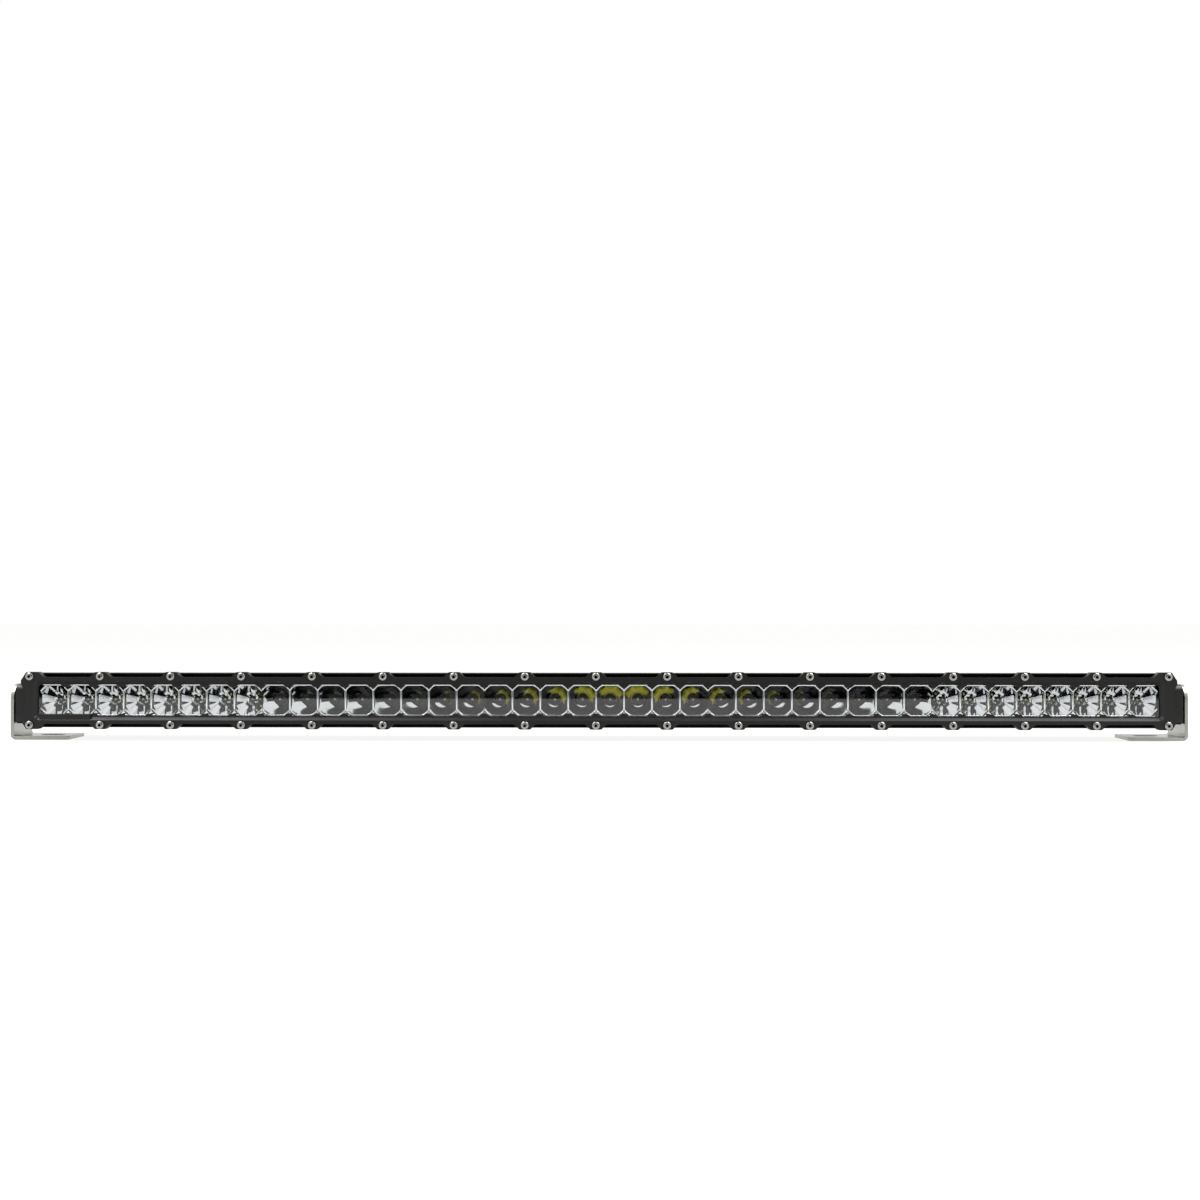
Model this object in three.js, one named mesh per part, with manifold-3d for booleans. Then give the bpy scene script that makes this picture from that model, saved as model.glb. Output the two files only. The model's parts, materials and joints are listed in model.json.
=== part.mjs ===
// LED light bar, 1065 mm long: one row of forty emitters behind a scalloped bezel,
// hung between two L brackets on which it tilts.
// Millimetres, +Z up. The lamp faces -Y and its length runs along X.
// The origin is the centre of the overall box, on the plane that the feet stand on.

import * as THREE from 'three';
import { mergeVertices } from 'three/addons/utils/BufferGeometryUtils.js';
import Module from 'manifold-3d';

const wasm = await Module();
wasm.setup();

// Driving dimensions. Pieces are drawn round the tilt axis, which is y = 0, z = 0.
const gap = 0.3;
const pivotHeight = 36;

const emitterPitch = 25;
const emittersPerReflector = 8;
const reflectorNames = ['flood_left', 'spot_left', 'spot_centre', 'spot_right', 'flood_right'];
const windowLength = emitterPitch * emittersPerReflector * reflectorNames.length;
const windowHeight = 28.4;

const bezelFront = -34;
const bezelThickness = 7.5;
const bezelLength = 1029;
const bezelEarHeight = 51;
const bezelWaistHeight = 41.6;
const earTopWidth = 9.6;
const earBaseWidth = 19.6;
const screwPitch = 63.3;
const screwsPerRow = 17;
const screwRow = 21.7;
const screwHoleRadius = 2.3;

const lensThickness = 2.8;
const lensHeight = 36.6;
const lensLength = 1008;
const sealThickness = 0.6;

const housingFront = -26;
const housingRear = 32;
const flangeHeight = 48.8;
const flangeRear = -13;
const housingHeight = 45.2;
const housingLength = 1016;
const pocketHeight = 31.6;
const webFront = -5.7;
const webRear = 1;
const chamberRear = 13;
const chamberHeight = 22;
const finRoot = 16;
const finCount = 7;
const finThickness = 2.2;
const sideGrooveDepth = 4;
const sideGrooveWidth = 3;
const screwGrooveWidth = 4;
const screwGrooveDepth = 10;

const capPlateThickness = 3.4;
const capGasketThickness = 1;
const bossFront = -24;
const bossRear = 22;
const bossBottom = -21.5;
const bossTop = 14;
const bossCornerRadius = 6;
const bossThickness = 10;

const spacerRadius = 12.5;
const spacerThickness = 1.7;
const plateThickness = 3;
const legTop = 14;
const legCornerRadius = 14;
const footWidth = 44;
const footInnerX = 475.6;
const slotLength = 22;
const slotInset = 22;
const slotWidth = 9;
const boltRadius = 3;
const boltHeadAcross = 10;
const boltHeadThickness = 4;

const glandX = 0;
const ventX = -70;
const glandReach = 22;
const fittingPocketWidth = 30;
const fittingPocketHeight = 20.4;
const fittingThreadRadius = 5;

// Stations along X at each end, from the housing outwards.
const housingEnd = housingLength / 2;
const capGasketEnd = housingEnd + gap + capGasketThickness;
const capPlateEnd = capGasketEnd + gap + capPlateThickness;
const bossEnd = capPlateEnd + bossThickness;
const spacerEnd = bossEnd + gap + spacerThickness;
const legInner = spacerEnd + gap;
const legOuter = legInner + plateThickness;
const boltHeadStart = legOuter + gap;
const footTop = plateThickness - pivotHeight;

// Stations along Y in front of the housing.
const bezelBack = bezelFront + bezelThickness;
const sealBack = housingFront - gap;
const sealFront = sealBack - sealThickness;
const lensBack = sealFront - gap;
const lensFront = lensBack - lensThickness;
const screwHeadThickness = 2.2;
const overallFront = bezelFront - gap - screwHeadThickness;
const overallRear = finRoot + gap + glandReach;
const pivotY = -(overallFront + overallRear) / 2;

// Materials
const paint = (color, roughness, metalness) =>
  new THREE.MeshStandardMaterial({ color, roughness, metalness });
const blackCoat = paint(0x17181a, 0.45, 0.2);
const blackDieCast = paint(0x1b1c1e, 0.5, 0.2);
const clearPolycarbonate = paint(0xdfe6e8, 0.08, 0);
const chrome = paint(0xd9dbdc, 0.12, 1);
const blackBoard = paint(0x141516, 0.55, 0);
const greenBoard = paint(0x245a38, 0.6, 0);
const stainless = paint(0xb9bab6, 0.35, 1);
const bracketSteel = paint(0xb4b6ae, 0.42, 1);
const blackRubber = paint(0x101010, 0.9, 0);
const blackNylon = paint(0x1a1a1a, 0.7, 0);

// Solids. A slab is a flat outline given thickness between two stations on one axis:
// its outline is (y, z) across X, (x, z) across Y and (x, y) across Z.
const slabBasis = {
  x: new THREE.Matrix4().makeBasis(
    new THREE.Vector3(0, 1, 0), new THREE.Vector3(0, 0, 1), new THREE.Vector3(1, 0, 0)),
  y: new THREE.Matrix4().makeBasis(
    new THREE.Vector3(1, 0, 0), new THREE.Vector3(0, 0, 1), new THREE.Vector3(0, -1, 0)),
  z: new THREE.Matrix4(),
};

function slab(axis, shape, a, b, curveSegments = 6) {
  const depth = Math.abs(b - a);
  const geometry = new THREE.ExtrudeGeometry(shape, { depth, bevelEnabled: false, curveSegments });
  geometry.applyMatrix4(slabBasis[axis]);
  const start = axis === 'y' ? Math.max(a, b) : Math.min(a, b);
  geometry.translate(axis === 'x' ? start : 0, axis === 'y' ? start : 0, axis === 'z' ? start : 0);
  return geometry;
}

function box(x0, x1, y0, y1, z0, z1) {
  const geometry = new THREE.BoxGeometry(Math.abs(x1 - x0), Math.abs(y1 - y0), Math.abs(z1 - z0));
  geometry.translate((x0 + x1) / 2, (y0 + y1) / 2, (z0 + z1) / 2);
  return geometry;
}

function solid(geometry) {
  const bare = geometry.clone();
  bare.deleteAttribute('normal');
  bare.deleteAttribute('uv');
  const merged = mergeVertices(bare, 1e-4);
  const vertProperties = merged.attributes.position.array;
  const triVerts = new Uint32Array(merged.index.array);
  return new wasm.Manifold(new wasm.Mesh({ numProp: 3, vertProperties, triVerts }));
}

function geometryOf(manifold) {
  const mesh = manifold.getMesh();
  const geometry = new THREE.BufferGeometry();
  geometry.setAttribute('position', new THREE.BufferAttribute(mesh.vertProperties, 3));
  geometry.setIndex(new THREE.BufferAttribute(mesh.triVerts, 1));
  geometry.computeVertexNormals();
  return geometry;
}

function cut(body, cutters) {
  return geometryOf(cutters.reduce((left, cutter) => left.subtract(solid(cutter)), solid(body)));
}

function join(pieces) {
  return geometryOf(pieces.slice(1).reduce((left, piece) => left.add(solid(piece)), solid(pieces[0])));
}

// Outlines
function outline(points) {
  return new THREE.Shape(points.map(([u, v]) => new THREE.Vector2(u, v)));
}

function rectangle(u0, u1, v0, v1) {
  return outline([[u0, v0], [u1, v0], [u1, v1], [u0, v1]]);
}

function roundedRectangle(u0, u1, v0, v1, r) {
  const shape = new THREE.Shape();
  shape.absarc(u1 - r, v0 + r, r, -Math.PI / 2, 0, false);
  shape.absarc(u1 - r, v1 - r, r, 0, Math.PI / 2, false);
  shape.absarc(u0 + r, v1 - r, r, Math.PI / 2, Math.PI, false);
  shape.absarc(u0 + r, v0 + r, r, Math.PI, Math.PI * 1.5, false);
  shape.closePath();
  return shape;
}

function polygonAt(u, v, radius, sides, turn = 0) {
  const points = [];
  for (let i = 0; i < sides; i += 1) {
    const angle = turn + (i * 2 * Math.PI) / sides;
    points.push([u + radius * Math.cos(angle), v + radius * Math.sin(angle)]);
  }
  return outline(points);
}

function frame(outer, inner) {
  outer.holes.push(inner);
  return outer;
}

// A turned body on the Y axis, its profile given as [distance along Y, radius] pairs that
// start and end on the axis.
function turnedY(profile, segments, turn = 0) {
  const points = profile.map(([y, r]) => new THREE.Vector2(r, y));
  return new THREE.LatheGeometry(points, segments, turn);
}

const group = new THREE.Group();
const pivotFrame = new THREE.Group();
pivotFrame.position.set(0, pivotY, pivotHeight);
group.add(pivotFrame);

function addPiece(name, geometry, material, x = 0, y = 0, z = 0) {
  const mesh = new THREE.Mesh(geometry, material);
  mesh.name = name;
  mesh.position.set(x, y, z);
  pivotFrame.add(mesh);
}

const screwXs = [];
for (let i = 0; i < screwsPerRow; i += 1) {
  screwXs.push((i - (screwsPerRow - 1) / 2) * screwPitch);
}

// Housing: one aluminium extrusion, open to the front for the lamp parts and hollow
// behind the web for the driver, with fins along its back and grooves along its sides.
// The flange that takes the bezel screws stands proud of the rest.
function housing() {
  const half = housingHeight / 2;
  const flangeHalf = flangeHeight / 2;
  const end = housingEnd + 1;
  const finPitch = (housingHeight - finThickness) / (finCount - 1);
  const along = (y0, y1, z0, z1) => box(-end, end, y0, y1, z0, z1);
  const cutters = [
    along(housingFront - 1, webFront, -pocketHeight / 2, pocketHeight / 2),
    along(webRear, chamberRear, -chamberHeight / 2, chamberHeight / 2),
  ];
  for (const side of [-1, 1]) {
    const grooveIn = side * (screwRow - screwGrooveWidth / 2);
    const grooveOut = side * (screwRow + screwGrooveWidth / 2);
    cutters.push(along(housingFront - 1, housingFront + screwGrooveDepth, grooveIn, grooveOut));
    cutters.push(along(flangeRear, housingRear + 1, side * half, side * (flangeHalf + 1)));
    for (const y of [-8, 0, 8]) {
      cutters.push(along(y, y + sideGrooveWidth, side * (half - sideGrooveDepth), side * (half + 1)));
    }
  }
  for (let i = 0; i < finCount - 1; i += 1) {
    const z = -half + finThickness + i * finPitch;
    cutters.push(along(finRoot, housingRear + 1, z, z + finPitch - finThickness));
  }
  for (const x of [glandX, ventX]) {
    cutters.push(box(x - fittingPocketWidth / 2, x + fittingPocketWidth / 2,
      finRoot, housingRear + 1, -fittingPocketHeight / 2, fittingPocketHeight / 2));
    const bore = polygonAt(x, 0, fittingThreadRadius + gap, 12);
    cutters.push(slab('y', bore, chamberRear - 1, finRoot + 1));
  }
  for (const x of [-windowLength / 4, windowLength / 4]) {
    cutters.push(slab('y', polygonAt(x, 0, 4, 8), webFront - 1, webRear + 1));
  }
  const billet = box(-housingEnd, housingEnd, housingFront, housingRear, -flangeHalf, flangeHalf);
  return cut(billet, cutters);
}

addPiece('housing', housing(), blackCoat);

// Bezel: a cast frame whose edge steps out to an ear at every screw.
function bezelOutline() {
  const ear = bezelEarHeight / 2;
  const waist = bezelWaistHeight / 2;
  const end = bezelLength / 2;
  const slope = (earBaseWidth - earTopWidth) / 2;
  const cornerRun = 4.8;
  const cornerRise = 7.4;
  const reliefDepth = 5;
  const reliefInner = 4;
  const reliefOuter = 15;
  const cornerEarEnd = screwXs[0] + earTopWidth / 2 + 3;
  const leftEnd = [
    [-end + reliefDepth, reliefInner],
    [-end, reliefOuter],
    [-end, ear - cornerRise],
    [-end + cornerRun, ear],
    [cornerEarEnd, ear],
    [cornerEarEnd + slope, waist],
  ];
  const ears = screwXs.slice(1, -1).flatMap((x) => [
    [x - earBaseWidth / 2, waist],
    [x - earTopWidth / 2, ear],
    [x + earTopWidth / 2, ear],
    [x + earBaseWidth / 2, waist],
  ]);
  const rightEnd = leftEnd.map(([x, z]) => [-x, z]).reverse();
  const upper = leftEnd.concat(ears, rightEnd);
  const lower = upper.map(([x, z]) => [x, -z]).reverse();
  return outline(upper.concat(lower));
}

function bezel() {
  const body = slab('y', bezelOutline(), bezelFront, bezelBack);
  const cutters = [
    box(-windowLength / 2, windowLength / 2, bezelFront - 1, bezelBack + 1,
      -windowHeight / 2, windowHeight / 2),
    box(-lensLength / 2 - gap, lensLength / 2 + gap, lensFront - gap, bezelBack + 1,
      -lensHeight / 2 - gap, lensHeight / 2 + gap),
  ];
  for (const x of screwXs) {
    for (const z of [-screwRow, screwRow]) {
      cutters.push(slab('y', polygonAt(x, z, screwHoleRadius, 8), bezelFront - 1, bezelBack + 1));
    }
  }
  return cut(body, cutters);
}

addPiece('bezel', bezel(), blackDieCast);

// Bezel screws: M4 button heads with a hex socket.
function bezelScrew() {
  const headRadius = 3.8;
  const crownRadius = 2.3;
  const shankRadius = 1.7;
  const shankLength = 14;
  const socketAcross = 2.5;
  const socketDepth = 1.4;
  const body = turnedY([
    [-screwHeadThickness, 0],
    [-screwHeadThickness, crownRadius],
    [0, headRadius],
    [0, shankRadius],
    [shankLength, shankRadius],
    [shankLength, 0],
  ], 10);
  const socket = polygonAt(0, 0, socketAcross / Math.sqrt(3), 6);
  return cut(body, [slab('y', socket, -screwHeadThickness - 1, -screwHeadThickness + socketDepth)]);
}

const screwGeometry = bezelScrew();
for (const [row, z] of [['top', screwRow], ['bottom', -screwRow]]) {
  screwXs.forEach((x, i) => {
    const number = String(i + 1).padStart(2, '0');
    addPiece(`bezel_screw_${row}_${number}`, screwGeometry, stainless, x, bezelFront - gap, z);
  });
}

// Lens and its seal
addPiece('lens', box(-lensLength / 2, lensLength / 2, lensFront, lensBack,
  -lensHeight / 2, lensHeight / 2), clearPolycarbonate);

function lensSeal() {
  const sealOuter = rectangle(-lensLength / 2, lensLength / 2, -lensHeight / 2, lensHeight / 2);
  const innerX = windowLength / 2 + 1.2;
  const innerZ = pocketHeight / 2 + 0.2;
  return slab('y', frame(sealOuter, rectangle(-innerX, innerX, -innerZ, innerZ)), sealFront, sealBack);
}

addPiece('lens_gasket', lensSeal(), blackRubber);

// Reflectors: eight cups to a moulding. Flood cups are eight-sided, spot cups are round.
const reflectorFront = -25;
const reflectorBack = -8.6;
const cupRimRadius = 12.1;
const cupMidRadius = 8.8;
const cupThroatRadius = 4.2;

function reflector(faceted, centreX) {
  const length = emitterPitch * emittersPerReflector;
  const body = box(centreX - length / 2 + gap / 2, centreX + length / 2 - gap / 2,
    reflectorFront, reflectorBack, -pocketHeight / 2 + gap, pocketHeight / 2 - gap);
  const sides = faceted ? 8 : 12;
  const midDepth = reflectorFront + (reflectorBack - reflectorFront) * 0.55;
  const cutters = [];
  for (let i = 0; i < emittersPerReflector; i += 1) {
    const cup = turnedY([
      [reflectorFront - 1, 0],
      [reflectorFront - 1, cupRimRadius],
      [reflectorFront, cupRimRadius],
      [midDepth, cupMidRadius],
      [reflectorBack + 1, cupThroatRadius],
      [reflectorBack + 1, 0],
    ], sides, Math.PI / sides);
    cup.translate(centreX + (i - (emittersPerReflector - 1) / 2) * emitterPitch, 0, 0);
    cutters.push(cup);
  }
  return cut(body, cutters);
}

reflectorNames.forEach((name, i) => {
  const centreX = (i - (reflectorNames.length - 1) / 2) * emitterPitch * emittersPerReflector;
  addPiece(`reflector_${name}`, reflector(name.startsWith('flood'), centreX), chrome);
});

// Emitter boards: two aluminium boards end to end, twenty emitters on each.
function ledBoard(side) {
  const boardBack = webFront - gap;
  const boardFront = boardBack - 1.6;
  const emitterSize = 3.5;
  const emitterHeight = 0.6;
  const inner = gap / 2;
  const outer = windowLength / 2 - gap / 2;
  const pieces = [box(side * inner, side * outer, boardFront, boardBack, -14.5, 14.5)];
  const half = emitterSize / 2;
  for (let i = 0; i < windowLength / emitterPitch / 2; i += 1) {
    const x = side * (i + 0.5) * emitterPitch;
    pieces.push(box(x - half, x + half, boardFront - emitterHeight, boardFront + 0.5, -half, half));
  }
  return join(pieces);
}

addPiece('led_board_left', ledBoard(-1), blackBoard);
addPiece('led_board_right', ledBoard(1), blackBoard);

// Driver board: two chokes, four capacitors and two regulators on a board in the chamber.
function driverBoard() {
  const boardLength = 180;
  const boardFront = webRear + 1;
  const boardBack = boardFront + 1.6;
  const pieces = [box(-boardLength / 2, boardLength / 2, boardFront, boardBack, -9.6, 9.6)];
  const overlap = 0.4;
  for (const x of [-45, 45]) {
    pieces.push(box(x - 6, x + 6, boardBack - overlap, boardBack + 6, -6, 6));
  }
  for (const x of [-75, -62, 62, 75]) {
    pieces.push(slab('y', polygonAt(x, 0, 4, 10), boardBack - overlap, boardBack + 7.5));
  }
  for (const x of [-22, 22]) {
    pieces.push(box(x - 5, x + 5, boardBack - overlap, boardBack + 4.4, -7, 7));
  }
  return join(pieces);
}

addPiece('driver_board', driverBoard(), greenBoard);

// End caps, with a tongue that closes the lamp pocket and a boss for the pivot bolt.
const boltBoreRadius = boltRadius + gap;
const tongueReach = windowLength / 2 + 1;

function endCap(side) {
  const half = housingHeight / 2;
  const plate = roundedRectangle(housingFront, housingRear, -half, half, 3);
  const boss = roundedRectangle(bossFront, bossRear, bossBottom, bossTop, bossCornerRadius);
  const body = solid(slab('x', plate, side * (capGasketEnd + gap), side * capPlateEnd, 3))
    .add(solid(slab('x', boss, side * (capPlateEnd - 1), side * bossEnd, 4)))
    .add(solid(box(side * tongueReach, side * (capGasketEnd + gap + 1),
      housingFront, webFront - gap, -pocketHeight / 2 + gap, pocketHeight / 2 - gap)))
    .subtract(solid(slab('x', polygonAt(0, 0, boltBoreRadius, 12),
      side * (capGasketEnd + gap + 1), side * (bossEnd + 1))));
  return geometryOf(body);
}

function endCapGasket(side) {
  const half = housingHeight / 2 - 0.8;
  const inner = side * (housingEnd + gap);
  const outer = side * capGasketEnd;
  const sheet = slab('x', rectangle(housingFront + 0.8, finRoot, -half, half), inner, outer);
  const tongueOpening = box(inner - side, outer + side, housingFront, webFront,
    -pocketHeight / 2, pocketHeight / 2);
  return cut(sheet, [tongueOpening]);
}

for (const [name, side] of [['left', -1], ['right', 1]]) {
  addPiece(`end_cap_${name}`, endCap(side), blackDieCast);
  addPiece(`end_cap_gasket_${name}`, endCapGasket(side), blackRubber);
}

// Pivots: a spacer washer between boss and bracket, and a hex bolt through both.
function pivotSpacer(side) {
  const washer = frame(polygonAt(0, 0, spacerRadius, 24), polygonAt(0, 0, boltBoreRadius, 12));
  return slab('x', washer, side * (bossEnd + gap), side * spacerEnd);
}

function pivotBolt(side) {
  const headEnd = boltHeadStart + boltHeadThickness;
  const head = slab('x', polygonAt(0, 0, boltHeadAcross / Math.sqrt(3), 6, Math.PI / 6),
    side * boltHeadStart, side * headEnd);
  const shankStart = capGasketEnd + gap + 1 + gap;
  const shank = slab('x', polygonAt(0, 0, boltRadius, 12), side * shankStart, side * (boltHeadStart + 1));
  return join([head, shank]);
}

for (const [name, side] of [['left', -1], ['right', 1]]) {
  addPiece(`pivot_spacer_${name}`, pivotSpacer(side), stainless);
  addPiece(`pivot_bolt_${name}`, pivotBolt(side), stainless);
}

// Mounting brackets: a plate bent to an L, with a round-shouldered leg and a slot in the foot.
function bracket(side) {
  const bottom = -pivotHeight;
  const bendOuter = 5;
  const bendInner = bendOuter - plateThickness;
  const section = new THREE.Shape();
  section.moveTo(side * footInnerX, bottom);
  section.lineTo(side * (legOuter - bendOuter), bottom);
  section.absarc(side * (legOuter - bendOuter), bottom + bendOuter, bendOuter,
    -Math.PI / 2, side > 0 ? 0 : -Math.PI, side < 0);
  section.lineTo(side * legOuter, legTop + 1);
  section.lineTo(side * legInner, legTop + 1);
  section.lineTo(side * legInner, bottom + bendOuter);
  section.absarc(side * (legOuter - bendOuter), bottom + bendOuter, bendInner,
    side > 0 ? 0 : -Math.PI, -Math.PI / 2, side > 0);
  section.lineTo(side * footInnerX, footTop);
  section.closePath();

  const half = footWidth / 2;
  const profile = roundedRectangle(-half, half, bottom - 20, legTop, legCornerRadius);

  const cornerRadius = 4;
  const beyondLeg = legOuter + 10;
  const plan = roundedRectangle(Math.min(side * footInnerX, side * beyondLeg),
    Math.max(side * footInnerX, side * beyondLeg),
    -half, half, cornerRadius);
  const slotX = side * (footInnerX + slotInset);
  const slotEndRadius = slotWidth / 2 - 0.01;
  const slot = roundedRectangle(slotX - slotLength / 2, slotX + slotLength / 2,
    -slotWidth / 2, slotWidth / 2, slotEndRadius);
  const body = solid(slab('y', section, -half, half, 6))
    .intersect(solid(slab('x', profile, side * (footInnerX - 1), side * (legOuter + 1), 10)))
    .intersect(solid(slab('z', plan, bottom - 1, legTop + 1, 3)))
    .subtract(solid(slab('z', slot, bottom - 1, footTop + 1, 4)))
    .subtract(solid(slab('x', polygonAt(0, 0, boltBoreRadius, 12),
      side * (legInner - 1), side * (legOuter + 1))));
  return geometryOf(body);
}

addPiece('bracket_left', bracket(-1), bracketSteel);
addPiece('bracket_right', bracket(1), bracketSteel);

// Rear fittings: a cable gland with an open bore, and a breather vent.
function cableGland() {
  const hexRadius = 14 / Math.sqrt(3);
  const seat = finRoot + gap;
  const hex = slab('y', polygonAt(0, 0, hexRadius, 6), seat, seat + 5);
  const dome = turnedY([
    [seat + 4, 0], [seat + 4, 6.2], [seat + 17, 6.2], [seat + 20, 5.4], [seat + glandReach, 4.4],
    [seat + glandReach, 0],
  ], 16);
  const thread = slab('y', polygonAt(0, 0, fittingThreadRadius, 12), chamberRear + gap, seat + 1);
  const bore = slab('y', polygonAt(0, 0, 3.6, 12), chamberRear - 1, seat + glandReach + 1);
  return geometryOf(solid(hex).add(solid(dome)).add(solid(thread)).subtract(solid(bore)));
}

function breatherVent() {
  const seat = finRoot + gap;
  const cap = turnedY([
    [seat, 0], [seat, 7], [seat + 3, 7], [seat + 4.4, 5.6], [seat + 4.4, 0],
  ], 16);
  const thread = slab('y', polygonAt(0, 0, fittingThreadRadius, 12), chamberRear + gap, seat + 1);
  return join([cap, thread]);
}

addPiece('cable_gland', cableGland(), blackNylon, glandX);
addPiece('breather_vent', breatherVent(), blackNylon, ventX);

export default group;
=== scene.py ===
"""An LED light bar: a long single-row lamp that tilts between two L brackets."""

import json
import math

import bmesh
import bpy
from bpy.props import FloatProperty, FloatVectorProperty, IntProperty, PointerProperty
from mathutils import Matrix, Vector


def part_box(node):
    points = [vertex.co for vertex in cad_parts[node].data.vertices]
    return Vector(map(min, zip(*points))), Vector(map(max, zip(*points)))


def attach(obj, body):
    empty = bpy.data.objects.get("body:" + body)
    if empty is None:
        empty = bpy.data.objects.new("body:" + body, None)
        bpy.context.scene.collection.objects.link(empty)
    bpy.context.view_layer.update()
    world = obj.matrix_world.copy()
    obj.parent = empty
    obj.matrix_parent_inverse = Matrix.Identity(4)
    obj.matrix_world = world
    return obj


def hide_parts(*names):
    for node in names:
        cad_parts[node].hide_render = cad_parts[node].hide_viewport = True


bl_info = {
    "name": "LED light bar",
    "version": (1, 0, 0),
    "blender": (4, 5, 0),
    "location": "3D View > Sidebar > Light Bar",
    "description": "Builds the visible pieces of an LED light bar around its CAD frame",
    "category": "Object",
}

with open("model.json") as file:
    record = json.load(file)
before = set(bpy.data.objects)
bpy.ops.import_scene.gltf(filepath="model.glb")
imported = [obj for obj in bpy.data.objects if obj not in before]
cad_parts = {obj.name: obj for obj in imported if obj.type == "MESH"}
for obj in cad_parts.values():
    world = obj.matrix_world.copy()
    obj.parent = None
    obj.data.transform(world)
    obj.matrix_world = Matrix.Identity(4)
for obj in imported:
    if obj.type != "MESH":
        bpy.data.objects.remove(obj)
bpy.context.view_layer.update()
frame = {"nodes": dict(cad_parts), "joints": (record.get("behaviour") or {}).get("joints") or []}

MM = 0.001
SIDES = (("left", -1), ("right", 1))
ROWS = ("top", "bottom")
SCREWS_PER_ROW = 17
REFLECTORS = ("flood_left", "spot_left", "spot_centre", "spot_right", "flood_right")
CUPS_PER_REFLECTOR = 8
BAR = "light_bar"

# Sizes that the CAD model shares with the pieces here, in millimetres.
CUP_PITCH = 25.0
WINDOW = (500.0, 14.2)      # half length and half height
BEZEL_WAIST = 20.8          # half height between two ears
EAR_TOP = 4.8               # half width of an ear at its top
EAR_BASE = 9.8              # half width of an ear at the waist
BOSS_REACH = 10.0           # how far an end cap's boss stands out
GAP = 0.3                   # clearance between neighbouring pieces

# Pieces are drawn in millimetres round the tilt axis and placed in the frame at the end.
pivot = next(j for j in frame["joints"] if j["name"] == "bar_tilt")["pos_m"]
PLACE = Matrix.Translation((0, pivot[1], pivot[2])) @ Matrix.Scale(MM, 4)


def span(node):
    """A CAD node's lowest and highest corners, in millimetres round the tilt axis."""
    low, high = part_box(node)
    return PLACE.inverted() @ low, PLACE.inverted() @ high


def linear(code):
    """An sRGB hex code as linear red, green and blue."""
    channels = [int(code[i:i + 2], 16) / 255 for i in (0, 2, 4)]
    return tuple(c / 12.92 if c <= 0.04045 else ((c + 0.055) / 1.055) ** 2.4 for c in channels)


# ---------------------------------------------------------------- settings

def millimetres(name, description, default):
    return FloatProperty(name=name, description=description, default=default * MM,
                         unit="LENGTH", subtype="DISTANCE", precision=5)


def colour(name, description, code):
    return FloatVectorProperty(name=name, description=description, default=linear(code),
                               subtype="COLOR", min=0, max=1)


class LightBarSizes(bpy.types.PropertyGroup):
    """Sizes of the details that the CAD frame leaves plain"""

    edge_radius: millimetres("Edge radius", "Rounding of the bezel's front edge", 0.9)
    recess_chamfer: millimetres("Recess chamfer", "Chamfer along the upper recesses", 2.0)
    ear_fillet: millimetres("Ear fillet", "Rounding where an ear meets the bezel's edge", 3.6)
    lip_width: millimetres("Lip width", "Sloping lip round the window", 3.0)
    tooth_width: millimetres("Tooth width", "Width of the bumps between two cups", 9.4)
    tooth_height: millimetres("Tooth height", "How far the bumps reach into the window", 2.3)
    plaque_length: millimetres("Plaque length", "Length of the blank plaque in the window", 46)
    plaque_height: millimetres("Plaque height", "Height of the blank plaque", 5.6)
    cup_focus: millimetres("Cup focus", "Focal length of a reflector cup", 2.84)
    bead_width: millimetres("Bead width", "Width of the bead round a cup's rim", 1.7)
    rail_edge: millimetres("Rail edge", "Height at which the rails cut the cups off", 12.9)
    die_width: millimetres("Die width", "Width of an emitter's phosphor die", 1.3)
    socket_across: millimetres("Socket", "Hex socket of a bezel screw, across flats", 2.5)
    cup_steps: IntProperty(name="Cup steps", description="Steps round a round cup",
                           default=40, min=12, max=96)


class LightBarColours(bpy.types.PropertyGroup):
    """Colours of the finishes"""

    powder: colour("Powder coat", "Housing", "0D0D0D")
    casting: colour("Casting coat", "Bezel and end caps", "0E0D0C")
    chrome: colour("Reflector", "Metallised cups", "E6E7E8")
    phosphor: colour("Phosphor", "Emitter dies", "D9D23A")
    steel: colour("Fasteners", "Screws, bolts and spacers", "A09F9C")
    sheet: colour("Brackets", "Bracket plate", "A2A39B")
    rubber: colour("Rubber", "Gaskets and seals", "111112")
    nylon: colour("Nylon", "Gland and vent", "1A1A1B")
    floor: colour("Floor", "Studio floor", "FEFEFD")


# ---------------------------------------------------------------- mesh steps

AXES = {
    "x": lambda u, v, w: (w, u, v),
    "y": lambda u, v, w: (u, w, v),
    "z": lambda u, v, w: (u, v, w),
}


def rounded(corners, steps=4):
    """A closed outline from corners given as (u, v) or, where filleted, (u, v, radius)."""
    outline = []
    count = len(corners)
    for i, corner in enumerate(corners):
        here = Vector(corner[:2])
        if len(corner) == 2:
            outline.append(here)
            continue
        back = Vector(corners[i - 1][:2]) - here
        ahead = Vector(corners[(i + 1) % count][:2]) - here
        half = back.angle(ahead) / 2
        share = 0.49    # of a side, so that the fillets at its two ends never meet
        reach = min(corner[2] / math.tan(half), back.length * share, ahead.length * share)
        start = here + back.normalized() * reach
        end = here + ahead.normalized() * reach
        for k in range(steps + 1):
            t = k / steps
            outline.append((1 - t) ** 2 * start + 2 * t * (1 - t) * here + t * t * end)
    return [tuple(p) for p in outline]


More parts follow.
